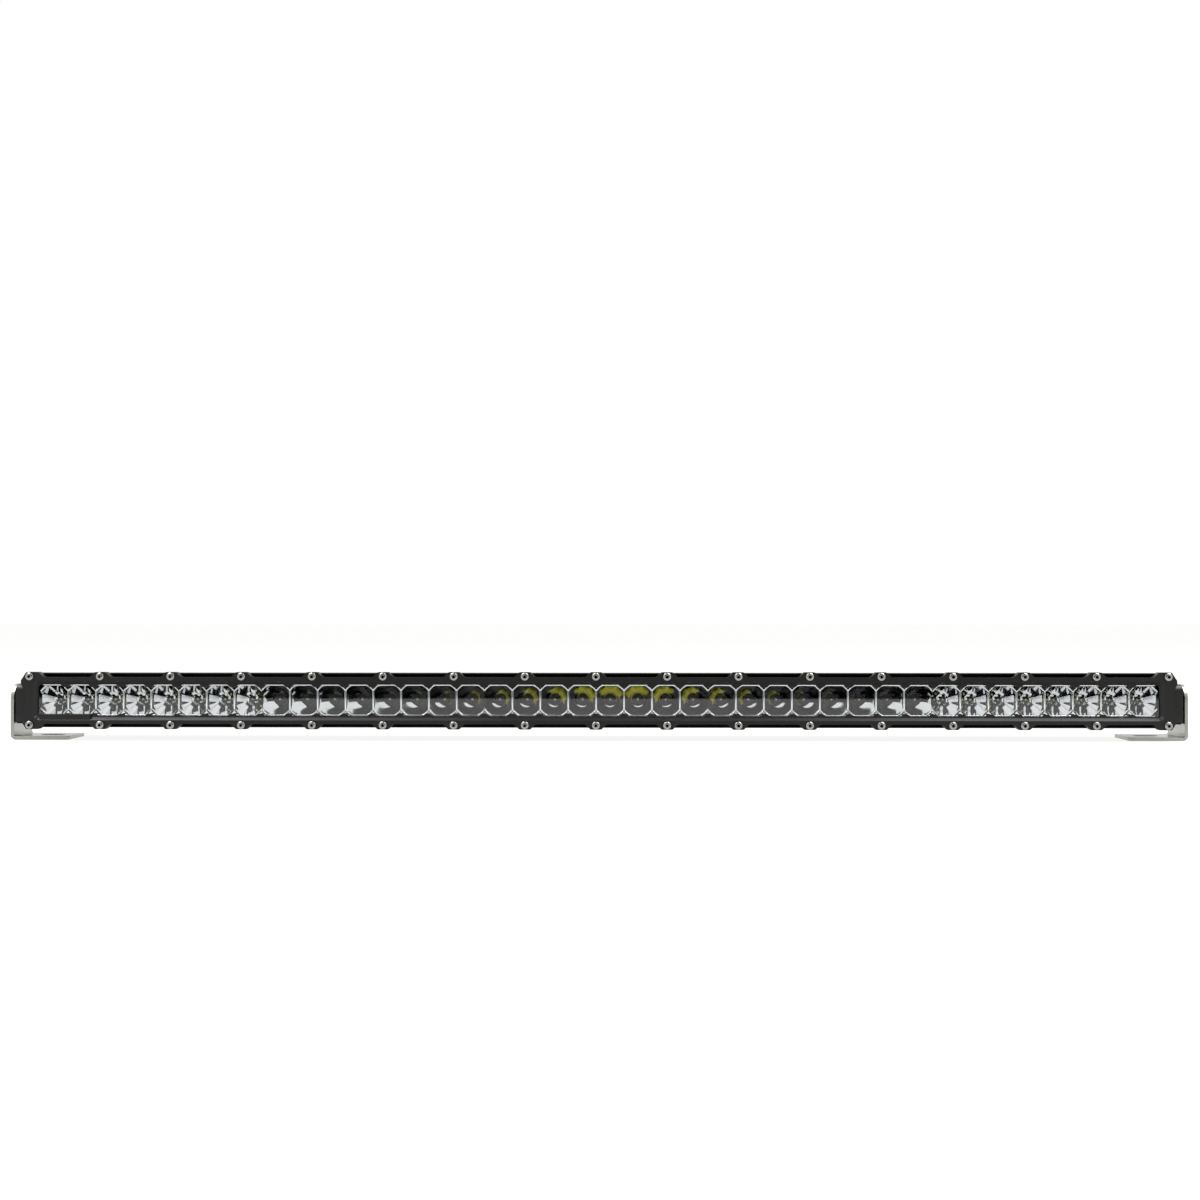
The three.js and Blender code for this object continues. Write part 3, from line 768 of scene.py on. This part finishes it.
def reflector_moulding(node, faceted):
    """Eight cups in one metallised moulding, with rails above and below and ribs between."""
    sizes = bpy.context.scene.light_bar_sizes
    low, high = span(node)
    half_x, half_z = CUP_PITCH / 2, high.z - 0.1
    centre = (low.x + high.x) / 2
    bead_front = low.y - 0.45
    rib_front, rib_depth, rib_half_width, rib_half_height = low.y - 0.35, 7, 0.85, 9
    bead_round, crest_round = 0.8, 0.9

    cell = cup_cell(low.y, high.y, sizes.cup_focus / MM, faceted, sizes.bead_width / MM,
                    sizes.cup_steps)
    for side in (-1, 1):
        trimmed(cell, (0, 0, side), half_z, True)
        trimmed(cell, (side, 0, 0), half_x, False)
    bm = cup_row(cell, centre)

    def on_crest(c):
        seam = (c.x - centre) / CUP_PITCH
        return low.y + 0.2 < c.y < high.y - 0.2 and abs(seam - round(seam)) < 1e-4

    round_edges(bm, sharp_edges(bm, 30, on_crest), crest_round, 4)
    moved(bm, (-centre, 0, 0))
    length = half_x * CUPS_PER_REFLECTOR - GAP / 2
    for side in (-1, 1):
        trimmed(bm, (side, 0, 0), length, True)

    edge = sizes.rail_edge / MM
    for side in (-1, 1):
        rail = block((-length, bead_front, min(side * edge, side * half_z)),
                     (length, high.y - 0.2, max(side * edge, side * half_z)))
        front = [e for e in rail.edges if all(v.co.y < low.y for v in e.verts)
                 and abs(e.verts[0].co.z - e.verts[1].co.z) < 1e-6]
        round_edges(rail, front, bead_round, 4)
        added(bm, rail)
    for i in range(1, CUPS_PER_REFLECTOR):
        x = (i - CUPS_PER_REFLECTOR / 2) * CUP_PITCH
        rib = block((x - rib_half_width, rib_front, -rib_half_height),
                    (x + rib_half_width, low.y + rib_depth, rib_half_height))
        front = [e for e in rib.edges if all(v.co.y < low.y for v in e.verts)]
        round_edges(rib, front, bead_round, 4)
        added(bm, rib)
    moved(bm, (centre, 0, 0))
    bmesh.ops.recalc_face_normals(bm, faces=bm.faces[:])
    return bm


class LIGHTBAR_OT_reflectors(bpy.types.Operator):
    """Build the reflector mouldings: eight-sided flood cups and round spot cups"""

    bl_idname = "light_bar.reflectors"
    bl_label = "Reflectors"

    def execute(self, context):
        for name in REFLECTORS:
            node = f"reflector_{name}"
            faceted = name.startswith("flood")
            bm = reflector_moulding(node, faceted)
            piece(f"{name}_cups", bm, [metallised_reflector], [node],
                  smooth=24 if faceted else 40, flat=False)
        return {"FINISHED"}


class LIGHTBAR_OT_emitters(bpy.types.Operator):
    """Build the two emitter boards with their packages and phosphor dies"""

    bl_idname = "light_bar.emitters"
    bl_label = "Emitter boards"

    def execute(self, context):
        die = context.scene.light_bar_sizes.die_width / MM / 2
        package = 1.75
        package_height, die_height, sunk = 0.6, 0.4, 0.1
        for name, side in SIDES:
            node = f"led_board_{name}"
            low, high = span(node)
            top = low.y + package_height
            bm = block((low.x, top, low.z), (high.x, high.y, high.z), 0.25, 1)
            for x in (x for x in cup_places() if x * side > 0):
                base = block((x - package, low.y, -package), (x + package, top + sunk, package),
                             0.12, 1)
                phosphor = block((x - die, low.y - die_height, -die), (x + die, low.y + sunk, die),
                                 0.15, 2)
                added(bm, painted(base, 1), painted(phosphor, 2))
            piece(f"emitter_board_{name}", bm,
                  [black_masked_board, grey_ceramic, phosphor_silicone],
                  [node])
        return {"FINISHED"}


class LIGHTBAR_OT_driver(bpy.types.Operator):
    """Build the driver board with its chokes, capacitors and regulators"""

    bl_idname = "light_bar.driver"
    bl_label = "Driver board"

    def execute(self, context):
        low, high = span("driver_board")
        top = low.y + 1.6
        sunk = top - 0.1
        bm = block((low.x, low.y, low.z), (high.x, top, high.z), 0.2, 1)
        epoxy, metal = 1, 2
        for x in (-45, 45):
            choke = block((x - 6, sunk, -6), (x + 6, top + 5.6, 6), 1.2, 3)
            added(bm, painted(choke, epoxy))
        for x in (-75, -62, 62, 75):
            can = turned("y", [(sunk, 0), (sunk, 3.9), (top + 1.2, 3.9),
                               (top + 1.6, 3.6), (top + 2.0, 3.9), (top + 6.9, 3.9),
                               (top + 7.3, 3.5), (top + 7.1, 3.1), (top + 7.1, 0)], 24, (x, 0))
            added(bm, painted(can, metal))
        for x in (-22, 22):
            regulator = block((x - 5, sunk, -5), (x + 5, top + 4.2, 5), 0.5, 2)
            added(bm, painted(regulator, epoxy))
            for leg in (x - 3, x, x + 3):
                pin = block((leg - 0.5, sunk, 4.6), (leg + 0.5, top + 1, 7))
                added(bm, painted(pin, metal))
        piece("driver_circuit", bm, [green_masked_board, black_epoxy, aluminium_can],
              ["driver_board"])
        return {"FINISHED"}


class LIGHTBAR_OT_housing(bpy.types.Operator):
    """Build the finned housing with its fin edges rounded"""

    bl_idname = "light_bar.housing"
    bl_label = "Housing"

    def execute(self, context):
        bm = copied("housing")
        round_edges(bm, sharp_edges(bm, 60), 0.35, 2)
        piece("finned_housing", bm, [powder_coated_aluminium], ["housing"])
        return {"FINISHED"}


class LIGHTBAR_OT_end_caps(bpy.types.Operator):
    """Build the end caps, their gaskets and the screws that hold them"""

    bl_idname = "light_bar.end_caps"
    bl_label = "End caps"

    def execute(self, context):
        for name, side in SIDES:
            node = f"end_cap_{name}"
            plate_face = max(abs(corner.x) for corner in span(node)) - BOSS_REACH
            bm = copied(node)
            outer_edges = sharp_edges(bm, 40, lambda c: abs(c.x) > plate_face - 1e-3)
            round_edges(bm, outer_edges, 0.8, 3)
            piece(f"cap_{name}", bm, [coated_die_casting], [node])
            gasket = copied(f"end_cap_gasket_{name}")
            round_edges(gasket, sharp_edges(gasket, 60), 0.2, 2)
            piece(f"cap_gasket_{name}", gasket, [silicone_rubber],
                  [f"end_cap_gasket_{name}"])
            corners = [(y, z) for y in (-20.0, 26.0) for z in (-18.4, 18.4)]
            for number, (y, z) in enumerate(corners, 1):
                screw = button_head(front=-2.2, seat=0, radius=3.4, across=2.2)
                swung(screw, side * math.pi / 2, "Z")
                moved(screw, (side * (plate_face + 0.02), y, z))
                piece(f"cap_screw_{name}_{number}", screw, [turned_stainless_steel])
        return {"FINISHED"}


def hex_bolt(side, tip, end, corner):
    """A hex bolt along X with a washer face under its head, from its tip to its head's end."""
    shank, washer, seat = 3.0, 4.7, end - 4
    chamfer = 0.4
    bolt = [(tip, 0), (tip, shank - chamfer), (tip + chamfer, shank), (seat, shank),
            (seat, washer), (seat + 0.5, washer), (seat + 0.5, 0)]
    head = [(seat + 0.45, 0), (seat + 0.45, corner), (end - 0.5, corner),
            (end - 0.02, corner - 0.7), (end - 0.02, 0)]
    bm = turned("x", [(side * w, r) for w, r in bolt], 24)
    hexagon = turned("x", [(side * w, r) for w, r in head], 6)
    return added(bm, swung(hexagon, math.pi / 6, "X"))


class LIGHTBAR_OT_pivots(bpy.types.Operator):
    """Build the pivot bolts and the spacers between cap and bracket"""

    bl_idname = "light_bar.pivots"
    bl_label = "Pivots"

    def execute(self, context):
        for name, side in SIDES:
            low, high = span(f"pivot_bolt_{name}")
            tip, end = sorted((abs(low.x), abs(high.x)))
            corner = (high.y - low.y) / 2 / math.cos(math.pi / 6) - 0.05
            piece(f"bolt_{name}", hex_bolt(side, tip, end, corner), [turned_stainless_steel],
                  [f"pivot_bolt_{name}"])
            spacer = copied(f"pivot_spacer_{name}")
            round_edges(spacer, sharp_edges(spacer, 60), 0.3, 2)
            piece(f"spacer_{name}", spacer, [turned_stainless_steel],
                  [f"pivot_spacer_{name}"])
        return {"FINISHED"}


class LIGHTBAR_OT_brackets(bpy.types.Operator):
    """Build the two bent-plate brackets with deburred edges"""

    bl_idname = "light_bar.brackets"
    bl_label = "Brackets"

    def execute(self, context):
        for name, _ in SIDES:
            node = f"bracket_{name}"
            bm = copied(node)
            round_edges(bm, sharp_edges(bm, 50), 0.4, 2)
            piece(f"mount_{name}", bm, [rolled_stainless_plate], [node],
                  body=node)
        return {"FINISHED"}


class LIGHTBAR_OT_fittings(bpy.types.Operator):
    """Build the cable gland and the breather vent on the back"""

    bl_idname = "light_bar.fittings"
    bl_label = "Rear fittings"

    def execute(self, context):
        low, high = span("cable_gland")
        x = (low.x + high.x) / 2
        seat = high.y - 22      # where the gland's collar meets the housing
        bore, thread_radius = 3.7, 4.9
        collar = turned("y", [(seat, 3.6), (seat, 8.0), (seat + 0.5, 8.08), (seat + 4.5, 8.08),
                              (seat + 5, 7.6), (seat + 5, 3.6)], 6, (x, 0), closed=True)
        nut = turned("y", [(seat + 5.2, 4.9), (seat + 5.2, 5.9), (seat + 15.5, 5.9),
                           (seat + 19.5, 5.2), (seat + 21.9, 4.6), (seat + 21.9, 4.1),
                           (seat + 19, 4.1), (seat + 19, 4.9)], 32, (x, 0), closed=True)
        ribs = [f for f in nut.faces if abs(f.calc_center_median().y - seat - 10.3) < 1
                and Vector((f.calc_center_median().x - x, f.calc_center_median().z)).length > 5.5]
        for face in ribs[::2]:
            bmesh.ops.inset_individual(nut, faces=[face], thickness=0.15, depth=0.35)
        thread = turned("y", [(low.y, bore), (low.y, thread_radius), (seat + 0.2, thread_radius),
                              (seat + 0.2, bore)], 24, (x, 0), closed=True)
        seal = turned("y", [(seat + 10, bore), (seat + 10, 4.8), (seat + 21.2, 4.0),
                            (seat + 21.2, 3.65)], 32, (x, 0), closed=True)
        bmesh.ops.recalc_face_normals(nut, faces=nut.faces[:])
        piece("gland", added(collar, nut, thread), [moulded_nylon],
              ["cable_gland"], smooth=28)
        piece("gland_seal", seal, [silicone_rubber])

        low, high = span("breather_vent")
        x = (low.x + high.x) / 2
        seat = high.y - 4.4     # where the vent's cap meets the housing
        cap = turned("y", [(seat, 0), (seat, 6.8), (seat + 0.4, 6.95), (seat + 3, 6.95),
                           (seat + 4.0, 6.2), (seat + 4.35, 5.2), (seat + 4.35, 0)], 36, (x, 0))
        slots = [f for f in cap.faces if seat + 0.6 < f.calc_center_median().y < seat + 2.8]
        for face in slots[::3]:
            bmesh.ops.inset_individual(cap, faces=[face], thickness=0.2, depth=-0.6)
        thread = turned("y", [(low.y, 0), (low.y, thread_radius), (seat + 0.2, thread_radius),
                              (seat + 0.2, 0)], 24, (x, 0))
        piece("vent", added(cap, thread), [moulded_nylon], ["breather_vent"],
              smooth=28)
        return {"FINISHED"}


# ---------------------------------------------------------------- stage

def card(name, centre, half, shade, upright=False, seen_by_mirrors_only=True):
    """A flat card from its centre and half sizes, part of the studio and not of the object."""
    mesh = bpy.data.meshes.new(name)
    bm = bmesh.new()
    bmesh.ops.create_grid(bm, x_segments=1, y_segments=1, size=1)
    bmesh.ops.scale(bm, verts=bm.verts[:], vec=(*half, 1))
    if upright:
        swung(bm, math.pi / 2, "X")
    moved(bm, centre)
    bm.to_mesh(mesh)
    bm.free()
    mesh.materials.append(finish(shade))
    obj = bpy.data.objects.new(name, mesh)
    bpy.context.scene.collection.objects.link(obj)
    if seen_by_mirrors_only:
        obj.visible_camera = False
        obj.visible_diffuse = False
        obj.visible_shadow = False
    return obj


def lit_acrylic_table(tree, where, colours):
    # Opal acrylic lit from below: almost white by itself, so that shadows on it stay faint.
    mottle = add_node(tree, "ShaderNodeTexNoise", {"Scale": per(300), "Detail": 2.0}, {"Vector": where})
    tone = add_node(tree, "ShaderNodeValToRGB", links={"Fac": mottle.outputs["Fac"]})
    tone.color_ramp.elements[0].color = rgba(colours.floor, 0.99)
    tone.color_ramp.elements[1].color = rgba(colours.floor, 1.0)
    glow = add_node(tree, "ShaderNodeEmission", {"Strength": 1.0}, {"Color": tone.outputs["Color"]})
    surface = add_node(tree, "ShaderNodeBsdfDiffuse", links={"Color": tone.outputs["Color"]})
    return add_node(tree, "ShaderNodeMixShader", {0: 0.1},
                    {1: glow.outputs["Emission"], 2: surface.outputs["BSDF"]}).outputs["Shader"]


def black_flag(tree, where, colours):
    # Black velvet on a frame.
    return add_node(tree, "ShaderNodeBsdfDiffuse",
                    {"Color": (*linear("060606"), 1)}).outputs["BSDF"]


class LIGHTBAR_OT_stage(bpy.types.Operator):
    """Set up the floor, the lights and the camera"""

    bl_idname = "light_bar.stage"
    bl_label = "Stage"

    def execute(self, context):
        scene = context.scene
        low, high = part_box("bezel")     # metres from here on
        centre = Vector((0, low.y, (low.z + high.z) / 2))
        distance, rise, offset = 1.385, 0.080, 0.024
        eye = centre + Vector((offset, -distance, rise))
        lens, sensor = 46.7, 36.0
        below_middle = 0.0842 * sensor / lens   # the bar stands below the middle of the frame
        pitch = math.atan(rise / distance) - math.atan(below_middle)
        data = bpy.data.cameras.new("camera")
        data.lens = lens
        data.sensor_width = sensor
        data.clip_end = 50
        camera = bpy.data.objects.new("camera", data)
        camera.location = eye
        yaw = math.atan(offset / distance)
        camera.rotation_euler = (math.pi / 2 - pitch, 0, yaw + math.radians(-0.15))
        scene.collection.objects.link(camera)
        scene.camera = camera
        scene.view_settings.view_transform = "Standard"

        reach = 12.0
        card("floor", (0, 0, 0), (reach, reach), lit_acrylic_table, seen_by_mirrors_only=False)
        # Three black flags round the camera, which only the mirrors see: they darken the cups
        # that face the camera and leave the room's white to the others.
        near = centre.y - 0.65
        far = centre.y - 1.45
        wide, tall = 1.0, 1.1
        card("flag_floor", (0, (near + far) / 2, 0.001), (wide, (near - far) / 2), black_flag)
        card("flag_wall", (0, far, tall / 2), (wide, tall / 2), black_flag, upright=True)
        narrow, roof = 0.42, 1.6
        card("flag_roof", (0, (narrow + far) / 2, roof), (narrow, (narrow - far) / 2), black_flag)

        world = bpy.data.worlds.new("studio")
        world.use_nodes = True
        background = world.node_tree.nodes["Background"]
        background.inputs["Color"].default_value = (1, 1, 1, 1)
        background.inputs["Strength"].default_value = 1.0
        scene.world = world
        for name, side in SIDES:
            self.softbox(scene, f"softbox_{name}", (side * 1.15, -0.1, 1.6), centre,
                         size=1.3, power=45)
        self.softbox(scene, "softbox_top", (0, -0.1, 1.9), centre, size=2.2, power=26)
        return {"FINISHED"}

    @staticmethod
    def softbox(scene, name, place, target, size, power):
        """A square area light aimed at a target, its size in metres and power in watts."""
        data = bpy.data.lights.new(name, "AREA")
        data.shape = "SQUARE"
        data.size = size
        data.energy = power
        light = bpy.data.objects.new(name, data)
        light.location = place
        light.rotation_euler = (target - Vector(place)).to_track_quat("-Z", "Y").to_euler()
        scene.collection.objects.link(light)


# ---------------------------------------------------------------- add-on

STEPS = (
    LIGHTBAR_OT_stage,
    LIGHTBAR_OT_housing,
    LIGHTBAR_OT_bezel,
    LIGHTBAR_OT_bezel_screws,
    LIGHTBAR_OT_lens,
    LIGHTBAR_OT_reflectors,
    LIGHTBAR_OT_emitters,
    LIGHTBAR_OT_driver,
    LIGHTBAR_OT_end_caps,
    LIGHTBAR_OT_pivots,
    LIGHTBAR_OT_brackets,
    LIGHTBAR_OT_fittings,
)


class LIGHTBAR_PT_build(bpy.types.Panel):
    """Lists the pieces of the light bar"""

    bl_idname = "LIGHTBAR_PT_build"
    bl_label = "Light Bar"
    bl_space_type = "VIEW_3D"
    bl_region_type = "UI"
    bl_category = "Light Bar"

    def draw(self, context):
        for group in (context.scene.light_bar_sizes, context.scene.light_bar_colours):
            box = self.layout.box()
            for name in group.bl_rna.properties.keys():
                if name not in {"rna_type", "name"}:
                    box.prop(group, name)
        for step in STEPS:
            self.layout.operator(step.bl_idname)


CLASSES = (LightBarSizes, LightBarColours, *STEPS, LIGHTBAR_PT_build)


def register():
    for cls in CLASSES:
        bpy.utils.register_class(cls)
    bpy.types.Scene.light_bar_sizes = PointerProperty(type=LightBarSizes)
    bpy.types.Scene.light_bar_colours = PointerProperty(type=LightBarColours)


def unregister():
    del bpy.types.Scene.light_bar_colours
    del bpy.types.Scene.light_bar_sizes
    for cls in reversed(CLASSES):
        bpy.utils.unregister_class(cls)


def main():
    register()
    for step in STEPS:
        group, name = step.bl_idname.split(".")
        getattr(getattr(bpy.ops, group), name)()


if __name__ == "__main__":
    main()
